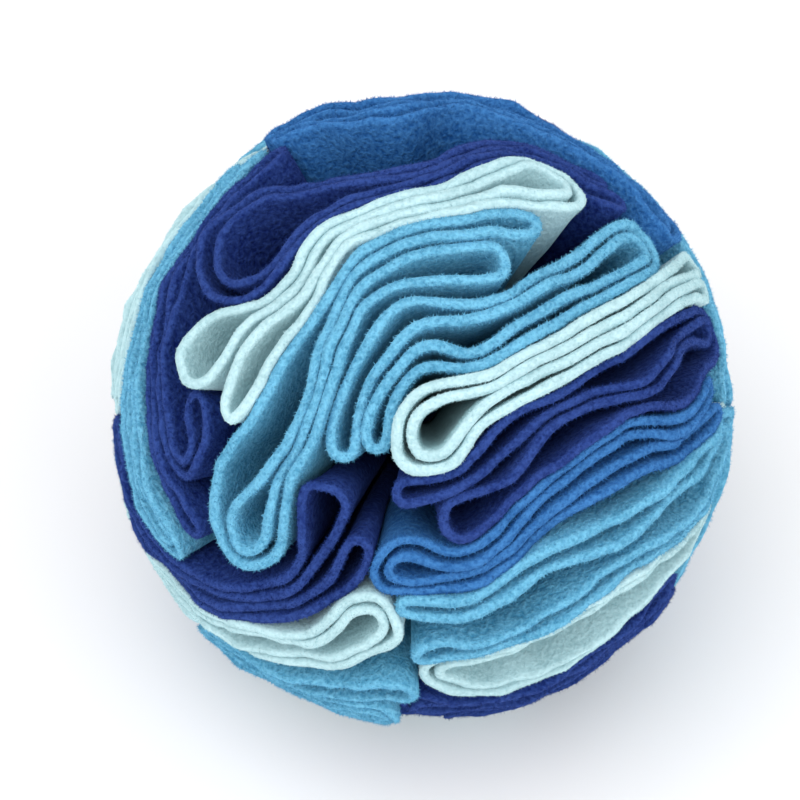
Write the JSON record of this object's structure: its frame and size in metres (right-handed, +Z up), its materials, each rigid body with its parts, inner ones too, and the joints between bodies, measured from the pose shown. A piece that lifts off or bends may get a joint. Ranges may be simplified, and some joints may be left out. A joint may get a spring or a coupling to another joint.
{
  "type": "dog snuffle ball",
  "caption": "Soft ball of round fleece pieces, each folded in quarters and pinned at its middle, with pockets between the folds for hiding dry treats.",
  "frame": {"origin": "on the floor under the middle of the ball, at the centre of its small flat spot", "axes": "+Z up, -Y towards the side that the picture shows, 50 degrees up from level, +X to that side's right"},
  "size_m": [0.1721, 0.1709, 0.1674],
  "materials": {
    "royal_fleece": "matte, short soft pile",
    "blue_fleece": "matte, short soft pile",
    "sky_fleece": "matte, short soft pile",
    "mint_fleece": "matte, short soft pile"
  },
  "bodies": {
    "root": {"front_1_mint": "mint_fleece", "front_2_sky": "sky_fleece", "front_3_sky": "sky_fleece", "front_4_mint": "mint_fleece", "front_5_royal": "royal_fleece", "front_6_blue": "blue_fleece", "front_7_sky": "sky_fleece", "front_8_mint": "mint_fleece", "front_9_royal": "royal_fleece", "front_10_royal": "royal_fleece", "front_11_mint": "mint_fleece", "front_12_sky": "sky_fleece", "front_13_royal": "royal_fleece", "front_14_blue": "blue_fleece", "front_15_royal": "royal_fleece", "front_16_sky": "sky_fleece", "back_1_royal": "royal_fleece", "back_2_mint": "mint_fleece", "back_3_blue": "blue_fleece", "back_4_sky": "sky_fleece", "back_5_mint": "mint_fleece", "back_6_blue": "blue_fleece", "back_7_royal": "royal_fleece", "back_8_blue": "blue_fleece", "back_9_royal": "royal_fleece", "back_10_sky": "sky_fleece", "back_11_mint": "mint_fleece", "back_12_sky": "sky_fleece", "back_13_blue": "blue_fleece", "back_14_royal": "royal_fleece", "back_15_sky": "sky_fleece", "back_16_blue": "blue_fleece", "back_17_mint": "mint_fleece", "back_18_royal": "royal_fleece", "back_19_sky": "sky_fleece", "back_20_blue": "blue_fleece", "side_1_sky": "sky_fleece", "side_2_royal": "royal_fleece", "side_3_mint": "mint_fleece", "side_4_blue": "blue_fleece", "side_5_royal": "royal_fleece", "side_6_sky": "sky_fleece"}
  },
  "joints": []
}
